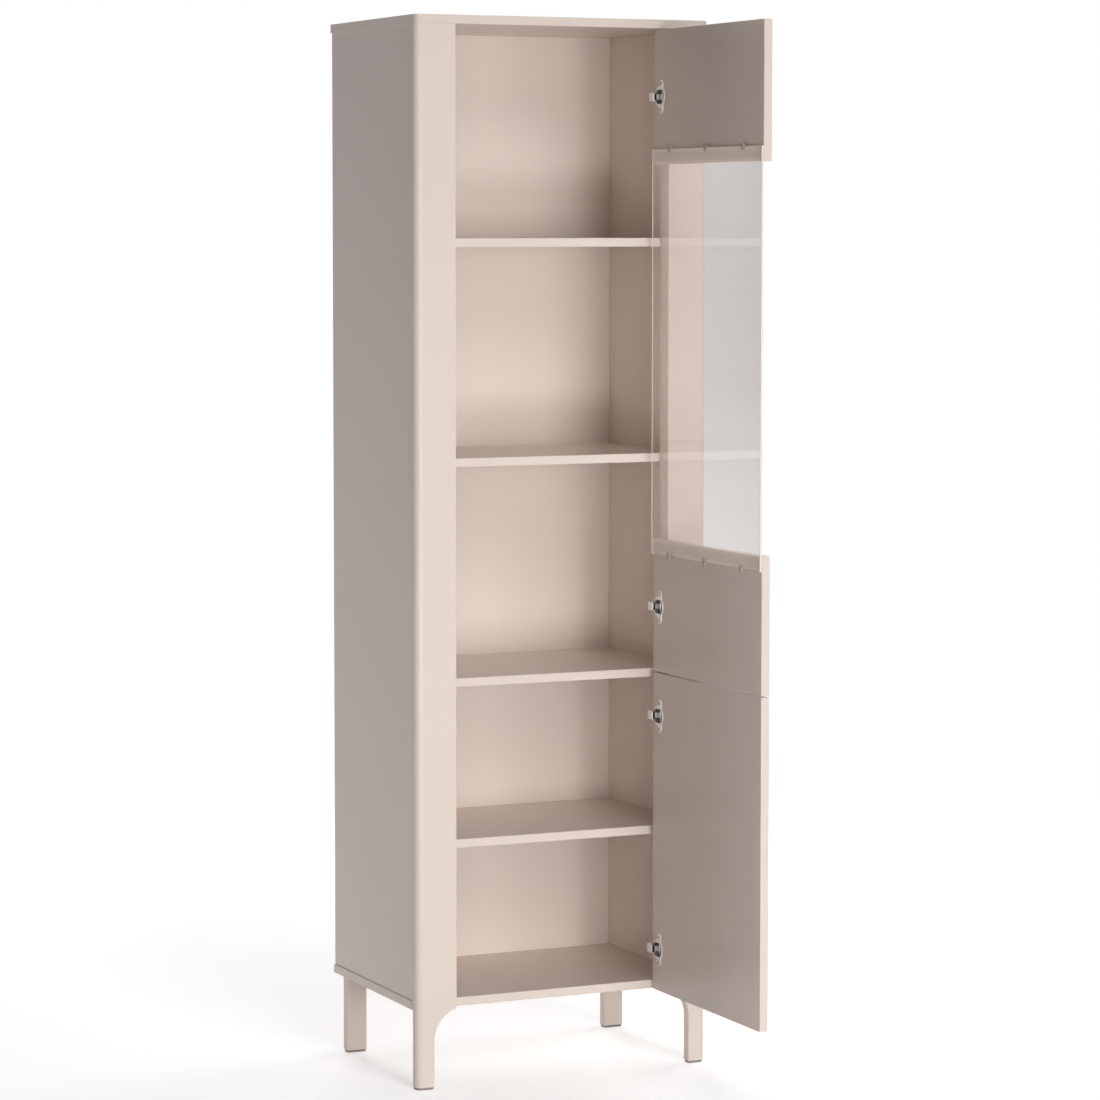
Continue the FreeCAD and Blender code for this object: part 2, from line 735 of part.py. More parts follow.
small_screw = make_screw("small_screw")
arm_screw = make_screw("arm_screw")
case_screw = make_screw("case_screw")
jamb_screw = make_screw("jamb_screw")
dowel = rod("dowel", ("0", "0", "-dowel_length/2"), "dowel_radius", "dowel_length")
dowel_shift = "dowel_length/2 - dowel_sink"
copies("top_dowels", dowel,
       [((x, y, z + " - (%s)" % dowel_shift), facing_up) for x, y, z in both(top_dowels + stile_dowels)])
copies("stile_dowels", dowel,
       [((x, y + " + " + dowel_shift, z), facing_back) for x, y, z in both(edge_dowels + foot_dowels)])
copies("leg_dowels", dowel,
       [((x, y, z + " - (%s)" % dowel_shift), facing_up) for x, y, z in both(leg_dowels)])
copies("case_screws", case_screw, [(spot, facing_down) for spot in both(case_screws)])
copies("leg_screws", case_screw, [(spot, facing_up) for spot in both(leg_screws)])
cap = rod("screw_cap", ("0", "0", "0"), "cap_radius", "cap_height")
copies("leg_screw_caps", cap, [((x, y, "floor_top"), facing_up) for x, y, z in both(leg_screws)])
copies("jamb_screws", jamb_screw, [(spot, facing_back) for spot in both(jamb_screws_left)])

pin_stem = rod("shelf_pin_stem", ("0", "0", "-shelf_pin_sink"), "shelf_pin_radius",
               "shelf_pin_sink + shelf_pin_reach")
pin_collar = rod("shelf_pin_collar", ("0", "0", "0"), "shelf_collar_radius", "shelf_collar_height")
collar_flat = block("shelf_pin_flat", ("-shelf_pin_radius - shelf_collar_radius", "-shelf_collar_radius", "0"),
                    ("shelf_collar_radius", "2*shelf_collar_radius", "shelf_collar_height"))
shelf_pin = join("shelf_pin", [pin_stem, carve("shelf_pin_washer", pin_collar, [collar_flat])])
copies("shelf_pins", shelf_pin,
       [(spot, facing_right) for spot in shelf_pins]
       + [(spot, half_turn.multiply(facing_right)) for spot in opposite(shelf_pins)])

cam_bolt = rod("cam_bolt", ("0", "0", "-cam_bolt_sink"), "cam_bolt_radius", "cam_bolt_sink + cam_inset")
copies("cam_bolts", cam_bolt,
       [(spot, facing_right) for spot in cam_bolts] + [(spot, facing_left) for spot in opposite(cam_bolts)])
cam_body = rod("cam_body", ("0", "0", "0"), "cam_radius", "cam_height")
cam_slot = rod("cam_slot", ("0", "0", "board/2"), hole("cam_bolt_radius"),
               "cam_radius + cut_overrun", facing_left)
cam = carve("cam", cam_body, [cam_slot])
copies("shelf_cams", cam,
       [(spot, facing_up) for spot in cams]
       + [(spot, half_turn) for spot in opposite(cams)])

# Hinges: the arm and its plate stay on the jamb strip, the cup and its pin turn with the door


def make_plate(key, z):
    label = "hinge_plate_" + key
    base = block(label + "_base", ("plate_face_x", "plate_front", z + " - plate_height/2"),
                 ("plate_thickness", "plate_depth", "plate_height"))
    saddle = block(label + "_saddle", ("saddle_face_x", "plate_front", z + " - saddle_width/2"),
                   ("saddle_height", "plate_depth", "saddle_width"))
    holes = [rod(label + "_arm_hole", ("saddle_face_x - cut_overrun", "arm_screw_y", z),
                 hole("arm_screw_radius"), "saddle_height + plate_thickness + 2*cut_overrun", facing_right)]
    for sign in ("+", "-"):
        holes.append(rod(label + "_hole", ("plate_face_x - cut_overrun", "jamb_centre",
                                           "%s %s plate_screw_rise" % (z, sign)),
                         hole("small_screw_radius"), "plate_thickness + 2*cut_overrun", facing_right))
    carve(label, join(label + "_stock", [base, saddle]), holes)


def make_arm(key, z):
    label = "hinge_arm_" + key
    half = "arm_thickness/2"
    neck_low = z + " - arm_neck_width/2"
    wide_low = z + " - arm_width/2"
    strip = [
        rod(label + "_eye", ("pivot_x", "pivot_depth", neck_low), "arm_eye_radius", "arm_neck_width"),
        block(label + "_neck", ("riser_x", "pivot_depth - " + half, neck_low),
              ("arm_reach", "arm_thickness", "arm_neck_width")),
        rod(label + "_first_bend", ("riser_x", "pivot_depth", wide_low), half, "arm_width"),
        block(label + "_riser", ("riser_x - " + half, "pivot_depth", wide_low),
              ("arm_thickness", "bridge_y - pivot_depth", "arm_width")),
        rod(label + "_second_bend", ("riser_x", "bridge_y", wide_low), half, "arm_width"),
        block(label + "_bridge", ("riser_x", "bridge_y - " + half, wide_low),
              ("tail_x - (riser_x)", "arm_thickness", "arm_width")),
        rod(label + "_third_bend", ("tail_x", "bridge_y", wide_low), half, "arm_width"),
        block(label + "_tail", ("arm_face_x", "bridge_y", wide_low),
              ("arm_thickness", "plate_front + plate_depth - (bridge_y)", "arm_width")),
    ]
    for low in (wide_low, z + " + arm_width/2 - arm_thickness"):
        strip.append(block(label + "_lip", ("riser_x", "pivot_depth + arm_lip_start", low),
                           ("arm_lip", "bridge_y - pivot_depth - arm_lip_start", "arm_thickness")))
    holes = [
        rod(label + "_pin_hole", ("pivot_x", "pivot_depth", neck_low + " - cut_overrun"),
            "hinge_pin_radius + hinge_pin_play", "arm_neck_width + 2*cut_overrun"),
        rod(label + "_screw_hole", ("arm_face_x - cut_overrun", "arm_screw_y", z),
            hole("arm_screw_radius"), "arm_thickness + 2*cut_overrun", facing_right),
    ]
    carve(label, join(label + "_strip", strip), holes)


def make_cup(key, z):
    label = "hinge_cup_" + key
    shell = rod(label + "_shell", ("door_inner_x", "cup_y", z), "cup_radius", "cup_depth", facing_right)
    ring = rod(label + "_ring", ("cup_face_x", "cup_y", z), "cup_radius + flange_ring",
               "flange_thickness", facing_right)
    web = block(label + "_web", ("cup_face_x", "cup_screw_y - flange_lug_radius", z + " - cup_screw_rise"),
                ("flange_thickness", "2*flange_lug_radius", "2*cup_screw_rise"))
    pieces = [shell, ring, web]
    mouth = doc.addObject("Part::Common", label + "_mouth")
    mouth.Base = rod(label + "_mouth_round", ("cup_face_x - cut_overrun", "cup_y", z), "cup_bore",
                     "flange_thickness + 2*cut_overrun", facing_right)
    mouth.Tool = block(label + "_mouth_band",
                       ("cup_face_x - cut_overrun", "cup_y - cup_radius", z + " - cup_mouth_height/2"),
                       ("flange_thickness + 2*cut_overrun", "2*cup_radius", "cup_mouth_height"))
    cuts = [
        mouth,
        rod(label + "_bore", ("door_inner_x", "cup_y", z), "cup_bore", "cup_depth - cup_floor", facing_right),
        rod(label + "_pin_hole", ("pivot_x", "pivot_depth", z + " - cup_radius"),
            hole("hinge_pin_radius"), "2*cup_radius"),
    ]
    for sign in ("+", "-"):
        spot = ("cup_face_x", "cup_screw_y", "%s %s cup_screw_rise" % (z, sign))
        pieces.append(rod(label + "_lug", spot, "flange_lug_radius", "flange_thickness", facing_right))
        start = ("cup_face_x - cut_overrun", spot[1], spot[2])
        cuts.append(rod(label + "_screw_hole", start, hole("small_screw_radius"),
                        "flange_thickness + 2*cut_overrun", facing_right))
    carve(label, join(label + "_stock", pieces), cuts)


for key, z in hinge_heights.items():
    make_plate(key, z)
    make_arm(key, z)
    make_cup(key, z)

copies("hinge_plate_screws", small_screw, [(spot, facing_left) for spot in plate_screws])
copies("hinge_arm_screws", arm_screw,
       [(("arm_face_x", "arm_screw_y", z), facing_left) for z in hinge_heights.values()])
hinge_pin = rod("hinge_pin", ("0", "0", "-(pin_half)"), "hinge_pin_radius", "2*pin_half")
for door in ("upper", "lower"):
    heights = [z for key, z in hinge_heights.items() if key.startswith(door)]
    copies("hinge_pins_" + door, hinge_pin, [(("pivot_x", "pivot_depth", z), facing_up) for z in heights])
    cup_screws = []
    for z in heights:
        for sign in ("+", "-"):
            cup_screws.append((("cup_face_x", "cup_screw_y", "%s %s cup_screw_rise" % (z, sign)), facing_left))
    copies("cup_screws_" + door, small_screw, cup_screws)

# Clips that hold the glass at its upper and lower edge

clip_seat = "clip_thickness - small_screw_head_height"
clip_disc = rod("clip_disc", ("0", "0", "0"), "clip_radius", "clip_thickness")
clip_hub = rod("clip_hub", ("0", "0", "-glass_thickness - tape_thickness"), "clip_hub_radius",
               "glass_thickness + tape_thickness + clip_thickness")
clip_bore = rod("clip_bore", ("0", "0", "-glass_thickness - tape_thickness - cut_overrun"),
                hole("small_screw_radius"),
                "glass_thickness + tape_thickness + clip_thickness + 2*cut_overrun")
clip_sink = rod("clip_sink", ("0", "0", clip_seat), hole("small_screw_head_radius"), "clip_thickness")
clip = carve("glass_clip", join("clip_stock", [clip_disc, clip_hub]), [clip_bore, clip_sink])
clip_spots = []
for y in spread("door_free_y", "door_width", clip_shares):
    for z in ("glass_head", "glass_base"):
        clip_spots.append((y, z))
copies("glass_clips", clip, [(("glass_face_x", y, z), facing_left) for y, z in clip_spots])
copies("glass_clip_screws", small_screw,
       [(("glass_face_x - (%s)" % clip_seat, y, z), facing_left) for y, z in clip_spots])

# Push latches on the left jamb strip

for key, z in latch_heights.items():
    label = "latch_housing_" + key
    barrel = block(label + "_barrel", ("-opening_half", "latch_front", z + " - latch_height/2"),
                   ("latch_width", "latch_length", "latch_height"))
    wing = block(label + "_wing", ("-opening_half", "plate_front", z + " - latch_wing_height/2"),
                 ("latch_wing_thickness", "plate_depth", "latch_wing_height"))
    cuts = [rod(label + "_bore", ("latch_axis_x", "latch_floor", z), "plunger_radius + plunger_play",
                "latch_floor - (latch_front) + cut_overrun", facing_front)]
    for sign in ("+", "-"):
        start = ("-opening_half - cut_overrun", "jamb_centre", "%s %s latch_screw_rise" % (z, sign))
        cuts.append(rod(label + "_hole", start, hole("small_screw_radius"),
                        "latch_wing_thickness + 2*cut_overrun", facing_right))
    carve(label, join(label + "_stock", [barrel, wing]), cuts)
    rod("latch_plunger_" + key, ("latch_axis_x", "plunger_tip", z),
        "plunger_radius", "plunger_length", facing_back)
    coil = rod("latch_spring_%s_outside" % key, ("latch_axis_x", "plunger_end + spring_end_play", z),
               "spring_radius", "latch_floor - (plunger_end) - 2*spring_end_play", facing_back)
    core = rod("latch_spring_%s_inside" % key, ("latch_axis_x", "plunger_end - cut_overrun", z),
               "spring_radius - 2*spring_wire", "latch_floor - (plunger_end) + 2*cut_overrun", facing_back)
    carve("latch_spring_" + key, coil, [core])
copies("latch_screws", small_screw, [(spot, facing_right) for spot in latch_screws])

# The sub-parts that are written, one file each

nodes = [
    "top_panel", "bottom_panel", "side_panel_left", "side_panel_right", "back_panel",
    "stile_left", "stile_right", "jamb_strip_left", "jamb_strip_right",
    "fixed_shelf", "upper_shelf_high", "upper_shelf_low", "lower_shelf",
    "rear_leg_left", "rear_leg_right", "front_leg_glides", "rear_leg_glides",
    "shelf_pins", "top_dowels", "stile_dowels", "leg_dowels", "case_screws", "leg_screws",
    "leg_screw_caps", "jamb_screws", "shelf_cams", "cam_bolts",
    "hinge_plate_screws", "hinge_arm_screws", "latch_screws",
    "door_panel_top", "door_panel_bottom", "glass_pane", "glass_tape_top", "glass_tape_bottom",
    "glass_clips", "glass_clip_screws", "lower_door_panel",
]
for key in hinge_heights:
    nodes += ["hinge_plate_" + key, "hinge_arm_" + key, "hinge_cup_" + key]
for door in ("upper", "lower"):
    nodes += ["hinge_pins_" + door, "cup_screws_" + door]
    nodes += ["latch_housing_" + door, "latch_plunger_" + door, "latch_spring_" + door]

doc.recompute()
for item in doc.Objects:
    if "Invalid" in item.State or "Error" in item.State:
        raise RuntimeError("%s could not be built: %s" % (item.Name, item.State))
    if item.TypeId == "PartDesign::Pocket" and item.Shape.Volume >= item.BaseFeature.Shape.Volume:
        raise RuntimeError("%s cuts nothing" % item.Name)
for name in nodes:
    shape = doc.getObject(name).Shape
    if shape.isNull() or not shape.isValid() or not shape.Solids:
        raise RuntimeError("%s has no sound solid" % name)

os.makedirs("parts", exist_ok=True)
for name in nodes:
    doc.getObject(name).Shape.exportStep("parts/%s.step" % name)
print("%d sub-parts written" % len(nodes))
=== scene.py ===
import json
import math

import bmesh
import bpy
from mathutils import Matrix, Vector


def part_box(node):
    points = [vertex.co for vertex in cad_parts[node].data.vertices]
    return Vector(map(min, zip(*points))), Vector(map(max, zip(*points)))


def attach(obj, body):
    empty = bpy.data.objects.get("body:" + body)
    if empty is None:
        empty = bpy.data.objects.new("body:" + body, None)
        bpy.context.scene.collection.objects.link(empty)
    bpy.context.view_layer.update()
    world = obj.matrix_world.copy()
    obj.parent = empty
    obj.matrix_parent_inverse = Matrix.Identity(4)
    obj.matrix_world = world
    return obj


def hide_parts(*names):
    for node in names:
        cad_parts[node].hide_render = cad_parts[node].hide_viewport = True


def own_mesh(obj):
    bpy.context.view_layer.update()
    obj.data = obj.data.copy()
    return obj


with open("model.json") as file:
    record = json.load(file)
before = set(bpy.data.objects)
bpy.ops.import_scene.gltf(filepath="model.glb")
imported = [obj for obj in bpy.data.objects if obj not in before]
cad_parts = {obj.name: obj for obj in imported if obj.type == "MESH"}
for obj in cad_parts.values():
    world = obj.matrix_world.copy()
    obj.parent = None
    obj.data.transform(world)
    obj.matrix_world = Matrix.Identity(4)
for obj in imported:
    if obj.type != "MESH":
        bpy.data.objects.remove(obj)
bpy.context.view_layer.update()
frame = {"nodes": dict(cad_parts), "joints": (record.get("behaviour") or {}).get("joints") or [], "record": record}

scene = bpy.context.scene
nodes = frame["nodes"]
bodyOf = {node: body for body, group in frame["record"]["behaviour"]["bodies"].items() for node in group}
slotOf = {row["node"]: row["material_slot"] for row in frame["record"]["subparts"]}
quarterTurn = math.pi / 2
print("frame loaded:", len(nodes), "nodes")


# Small helpers for node trees

def addNode(tree, kind, inputs=None, **settings):
    node = tree.nodes.new(kind)
    for name, value in settings.items():
        setattr(node, name, value)
    for name, value in (inputs or {}).items():
        if isinstance(value, bpy.types.NodeSocket):
            tree.links.new(value, node.inputs[name])
        else:
            node.inputs[name].default_value = value
    return node


def addMath(tree, operation, *values):
    return addNode(tree, "ShaderNodeMath", dict(enumerate(values)), operation=operation).outputs[0]


def addRange(tree, value, first, last, start=0.0, end=1.0, **settings):
    # first where the value is at its start, last where it is at its end
    return addNode(tree, "ShaderNodeMapRange", {
        "Value": value, "From Min": start, "From Max": end, "To Min": first, "To Max": last},
        **settings).outputs["Result"]


def placeGroup(tree, group, inputs):
    return addNode(tree, "ShaderNodeGroup", inputs, node_tree=group)


def newGroup(name, kind, inputs, outputs):
    tree = bpy.data.node_groups.new(name, kind)
    for label, socketType in inputs:
        tree.interface.new_socket(name=label, in_out="INPUT", socket_type=socketType)
    for label, socketType in outputs:
        tree.interface.new_socket(name=label, in_out="OUTPUT", socket_type=socketType)
    return tree, addNode(tree, "NodeGroupInput").outputs, addNode(tree, "NodeGroupOutput").inputs


def newMaterial(name):
    material = bpy.data.materials.new(name)
    material.use_nodes = True
    tree = material.node_tree
    return material, tree, tree.nodes["Principled BSDF"], tree.nodes["Material Output"]


# Shader effects that several finishes share

noiseDetail = {"tone": 4.0, "skin": 2.0}


def makeToneGroup():
    # a slow drift of tone and of gloss over a surface
    tree, given, result = newGroup(
        "toneDrift", "ShaderNodeTree",
        [("Vector", "NodeSocketVector"), ("Colour", "NodeSocketColor"),
         ("Drift", "NodeSocketFloat"), ("Scale", "NodeSocketFloat"),
         ("Roughness", "NodeSocketFloat"), ("Rough Span", "NodeSocketFloat")],
        [("Colour", "NodeSocketColor"), ("Roughness", "NodeSocketFloat")])
    noise = addNode(tree, "ShaderNodeTexNoise", {
        "Vector": given["Vector"], "Scale": given["Scale"], "Detail": noiseDetail["tone"]})
    centred = addMath(tree, "SUBTRACT", noise.outputs["Fac"], 0.5)
    gain = addMath(tree, "MULTIPLY_ADD", centred, given["Drift"], 1.0)
    colour = addNode(tree, "ShaderNodeVectorMath", {0: given["Colour"], "Scale": gain}, operation="SCALE")
    gloss = addMath(tree, "MULTIPLY_ADD", centred, given["Rough Span"], given["Roughness"])
    tree.links.new(colour.outputs[0], result["Colour"])
    tree.links.new(gloss, result["Roughness"])
    return tree


def makeSkinGroup():
    # the fine unevenness of a sprayed or moulded skin, as a height
    tree, given, result = newGroup(
        "fineSkin", "ShaderNodeTree",
        [("Vector", "NodeSocketVector"), ("Scale", "NodeSocketFloat")],
        [("Height", "NodeSocketFloat")])
    noise = addNode(tree, "ShaderNodeTexNoise", {
        "Vector": given["Vector"], "Scale": given["Scale"], "Detail": noiseDetail["skin"]})
    tree.links.new(noise.outputs["Fac"], result["Height"])
    return tree


toneGroup = makeToneGroup()
skinGroup = makeSkinGroup()


def placeTone(tree, spot, look):
    return placeGroup(tree, toneGroup, {
        "Vector": spot, "Colour": (*look["colour"], 1.0), "Drift": look["drift"],
        "Scale": look["driftScale"], "Roughness": look["rough"], "Rough Span": look["roughSpan"]}).outputs


# Finishes

def makeSprayed(name, look):
    material, tree, shader, _ = newMaterial(name)
    spot = addNode(tree, "ShaderNodeTexCoord").outputs["Object"]
    tone = placeTone(tree, spot, look)
    skin = placeGroup(tree, skinGroup, {"Vector": spot, "Scale": look["skinScale"]})
    bump = addNode(tree, "ShaderNodeBump", {
        "Strength": look["bump"], "Distance": look["skinHeight"], "Height": skin.outputs["Height"]})
    shader.inputs["Specular IOR Level"].default_value = look["shine"]
    tree.links.new(tone["Colour"], shader.inputs["Base Color"])
    tree.links.new(tone["Roughness"], shader.inputs["Roughness"])
    tree.links.new(bump.outputs["Normal"], shader.inputs["Normal"])
    return material


def makeBackBoard(name, front, raw):
    # lacquered towards the shelves, bare fibre board towards the wall
    material = makeSprayed(name, front)
    tree = material.node_tree
    shader = tree.nodes["Principled BSDF"]
    place = addNode(tree, "ShaderNodeTexCoord").outputs
    fibre = placeTone(tree, place["Object"], raw)
    facing = addNode(tree, "ShaderNodeSeparateXYZ", {"Vector": place["Normal"]})
    rear = addMath(tree, "GREATER_THAN", facing.outputs["Y"], raw["turn"])
    for socket, label, kind in (("Base Color", "Colour", "RGBA"), ("Roughness", "Roughness", "FLOAT")):
        mix = addNode(tree, "ShaderNodeMix", data_type=kind)
        factor, first, second = [k for k in mix.inputs if k.enabled]
        tree.links.new(rear, factor)
        tree.links.new(shader.inputs[socket].links[0].from_socket, first)
        tree.links.new(fibre[label], second)
        tree.links.new(next(k for k in mix.outputs if k.enabled), shader.inputs[socket])
    return material


def makeMetal(name, look):
    material = makeSprayed(name, look)
    material.node_tree.nodes["Principled BSDF"].inputs["Metallic"].default_value = look["metallic"]
    return material


def makeGlass(name, look):
    # lamps shine straight through it, so it casts almost no shadow
    material, tree, shader, output = newMaterial(name)
    shader.inputs["Base Color"].default_value = (*look["tint"], 1.0)
    shader.inputs["Transmission Weight"].default_value = 1.0
    shader.inputs["IOR"].default_value = look["ior"]
    shader.inputs["Roughness"].default_value = 0.0
    clear = addNode(tree, "ShaderNodeBsdfTransparent", {"Color": (*look["shadow"], 1.0)})
    path = addNode(tree, "ShaderNodeLightPath")
    mix = addNode(tree, "ShaderNodeMixShader", {
        0: path.outputs["Is Shadow Ray"], 1: shader.outputs["BSDF"], 2: clear.outputs["BSDF"]})
    tree.links.new(mix.outputs["Shader"], output.inputs["Surface"])
    return material


lacquerLook = {
    "colour": (0.745, 0.648, 0.586), "drift": 0.05, "driftScale": 2.5,
    "shine": 0.22, "rough": 0.25, "roughSpan": 0.06, "skinScale": 420.0, "skinHeight": 0.00004, "bump": 0.25,
}
# painted light: a lighter copy of the carcass lacquer, so that the back inside the case reads brighter than its
# light makes it
backPaintedLightLook = dict(lacquerLook, colour=(0.80, 0.704, 0.643), rough=0.5)
rawBoardLook = {
    "colour": (0.37, 0.25, 0.155), "drift": 0.35, "driftScale": 160.0,
    "rough": 0.78, "roughSpan": 0.1, "turn": 0.5,
}
nickelLook = {
    "metallic": 0.75, "colour": (0.90, 0.885, 0.865), "drift": 0.06, "driftScale": 90.0,
    "shine": 0.5, "rough": 0.4, "roughSpan": 0.14, "skinScale": 2500.0, "skinHeight": 0.00001, "bump": 0.2,
}
screwLook = dict(nickelLook, colour=(0.40, 0.39, 0.38), rough=0.28)
zincLook = dict(nickelLook, colour=(0.62, 0.63, 0.65), rough=0.34)
# painted shade: a dark copy of the nickel for the inside of the hinge cups
paintedCupShadeLook = dict(nickelLook, colour=(0.30, 0.29, 0.28), rough=0.5)
# painted shade: near black, for the bars beside the hinge arms
shadeBarLook = dict(lacquerLook, colour=(0.018, 0.016, 0.016), rough=0.55, skinScale=1800.0)
greyPlasticLook = dict(lacquerLook, colour=(0.27, 0.26, 0.25), rough=0.5, skinScale=1800.0)
glideLook = dict(lacquerLook, colour=(0.26, 0.225, 0.20), rough=0.6, skinScale=1800.0)
clipLook = dict(lacquerLook, colour=(0.56, 0.49, 0.43), rough=0.3, skinScale=1500.0)
capLook = dict(lacquerLook, rough=0.5)
stripLook = dict(lacquerLook, colour=(0.61, 0.54, 0.48), rough=0.7)
beechLook = dict(lacquerLook, colour=(0.45, 0.27, 0.13), rough=0.6, drift=0.25, driftScale=60.0)
groundEdgeLook = dict(lacquerLook, colour=(0.80, 0.75, 0.69), rough=0.55, skinScale=3000.0)
glassLook = {"tint": (0.985, 0.957, 0.946), "ior": 1.5, "shadow": (0.97, 0.965, 0.96)}

finishes = {
    "lacquer": makeSprayed("beigeLacquer", lacquerLook),
    "back_board": makeBackBoard("backBoard", backPaintedLightLook, rawBoardLook),
    "clear_glass": makeGlass("clearGlass", glassLook),
    "bonding_strip": makeSprayed("bondingStrip", stripLook),
    "clip_plastic": makeSprayed("clipPlastic", clipLook),
    "glide_plastic": makeSprayed("glidePlastic", glideLook),
    "latch_plastic": makeSprayed("latchPlastic", greyPlasticLook),
    "cap_plastic": makeSprayed("capPlastic", capLook),
    "beech": makeSprayed("beechDowel", beechLook),
    "nickel": makeMetal("nickelPlate", nickelLook),
    "nickel_screw": makeMetal("nickelScrew", screwLook),
    "zinc_steel": makeMetal("zincPlate", zincLook),
}
for node, piece in nodes.items():
    piece.data.materials.clear()
    piece.data.materials.append(finishes[slotOf[node]])
# painted shade for the inside of the hinge cups
darkSteel = makeMetal("darkSteel", paintedCupShadeLook)
groundEdge = makeSprayed("groundEdge", groundEdgeLook)
# painted shade for the bars beside the hinge arms
darkPlastic = makeSprayed("darkPlastic", shadeBarLook)
print("finishes made:", len(finishes))


# Geometry Nodes trees for small pieces that repeat

treeDetail = {"cornerSteps": 6, "domeSegments": 40, "domeRings": 16, "stemSides": 32,
             "coilSteps": 32, "wireSides": 12, "merge": 1e-6}


def makeTree(name, sizes):
    floats = [(label, "NodeSocketFloat") for label in sizes]
    counts = [(label, "NodeSocketInt") for label in ("Count", "Pair Count")]
    vectors = [(label, "NodeSocketVector") for label in ("Step", "Pair Step", "Start", "Turn")]
    return newGroup(
        name, "GeometryNodeTree",
        [("Geometry", "NodeSocketGeometry"), *floats, *counts, *vectors, ("Material", "NodeSocketMaterial")],
        [("Geometry", "NodeSocketGeometry")])


def finishTree(tree, given, result, shape):
    # sets the shape on two nested rows of points
    row = addNode(tree, "GeometryNodeMeshLine", {
        "Count": given["Count"], "Start Location": given["Start"], "Offset": given["Step"]}, mode="OFFSET")
    pair = addNode(tree, "GeometryNodeMeshLine", {
        "Count": given["Pair Count"], "Offset": given["Pair Step"]}, mode="OFFSET")
    spread = addNode(tree, "GeometryNodeInstanceOnPoints", {
        "Points": row.outputs["Mesh"], "Instance": pair.outputs["Mesh"]})
    points = addNode(tree, "GeometryNodeRealizeInstances", {"Geometry": spread.outputs["Instances"]})
    turn = addNode(tree, "FunctionNodeEulerToRotation", {"Euler": given["Turn"]})
    laid = addNode(tree, "GeometryNodeInstanceOnPoints", {
        "Points": points.outputs["Geometry"], "Instance": shape, "Rotation": turn.outputs["Rotation"]})
    real = addNode(tree, "GeometryNodeRealizeInstances", {"Geometry": laid.outputs["Instances"]})
    coat = addNode(tree, "GeometryNodeSetMaterial", {
        "Geometry": real.outputs["Geometry"], "Material": given["Material"]})
    tree.links.new(coat.outputs["Geometry"], result["Geometry"])
    return tree


def joinShapes(tree, *shapes):
    both = addNode(tree, "GeometryNodeJoinGeometry")
    for shape in shapes:
        tree.links.new(shape, both.inputs["Geometry"])
    return both.outputs["Geometry"]


def makePlateTree():
    # a flat plate with round corners, standing on its XY plane
    tree, given, result = makeTree("plateRow", ("Width", "Length", "Corner", "Thickness"))
    outline = addNode(tree, "GeometryNodeCurvePrimitiveQuadrilateral", {
        "Width": given["Width"], "Height": given["Length"]})
    rounded = addNode(tree, "GeometryNodeFilletCurve", {
        "Curve": outline.outputs["Curve"], "Radius": given["Corner"], "Count": treeDetail["cornerSteps"],
        "Limit Radius": True}, mode="POLY")
    face = addNode(tree, "GeometryNodeFillCurve", {"Curve": rounded.outputs["Curve"]}, mode="NGONS")
    lift = addNode(tree, "ShaderNodeCombineXYZ", {"Z": given["Thickness"]})
    solid = addNode(tree, "GeometryNodeExtrudeMesh", {
        "Mesh": face.outputs["Mesh"], "Offset": lift.outputs["Vector"], "Individual": False}, mode="FACES")
    under = addNode(tree, "GeometryNodeFlipFaces", {"Mesh": face.outputs["Mesh"]})
    closed = addNode(tree, "GeometryNodeMergeByDistance", {
        "Geometry": joinShapes(tree, under.outputs["Mesh"], solid.outputs["Mesh"]),
        "Distance": treeDetail["merge"]})
    return finishTree(tree, given, result, closed.outputs["Geometry"])


def makeButtonTree():
    # a round button: a low dome on a short straight rim, with a stem behind it
    tree, given, result = makeTree("buttonRow", ("Radius", "Rim", "Dome", "Stem Radius", "Stem"))
    ball = addNode(tree, "GeometryNodeMeshUVSphere", {
        "Segments": treeDetail["domeSegments"], "Rings": treeDetail["domeRings"], "Radius": 1.0})
    spot = addNode(tree, "GeometryNodeInputPosition")
    axes = addNode(tree, "ShaderNodeSeparateXYZ", {"Vector": spot.outputs["Position"]}).outputs
    crown = addMath(tree, "MULTIPLY", addMath(tree, "MAXIMUM", axes["Z"], 0.0), given["Dome"])
    raised = addMath(tree, "GREATER_THAN", axes["Z"], 0.0)
    place = addNode(tree, "ShaderNodeCombineXYZ", {
        "X": addMath(tree, "MULTIPLY", axes["X"], given["Radius"]),
        "Y": addMath(tree, "MULTIPLY", axes["Y"], given["Radius"]),
        "Z": addMath(tree, "MULTIPLY_ADD", raised, given["Rim"], crown)})
    cap = addNode(tree, "GeometryNodeSetPosition", {
        "Geometry": ball.outputs["Mesh"], "Position": place.outputs["Vector"]})
    soft = addNode(tree, "GeometryNodeSetShadeSmooth", {
        "Geometry": cap.outputs["Geometry"], "Shade Smooth": True})
    stem = addNode(tree, "GeometryNodeMeshCylinder", {
        "Vertices": treeDetail["stemSides"], "Radius": given["Stem Radius"], "Depth": given["Stem"]})
    sink = addNode(tree, "ShaderNodeCombineXYZ", {"Z": addMath(tree, "MULTIPLY", given["Stem"], -0.5)})
    lowered = addNode(tree, "GeometryNodeTransform", {
        "Geometry": stem.outputs["Mesh"], "Translation": sink.outputs["Vector"]})
    whole = joinShapes(tree, lowered.outputs["Geometry"], soft.outputs["Geometry"])
    return finishTree(tree, given, result, whole)


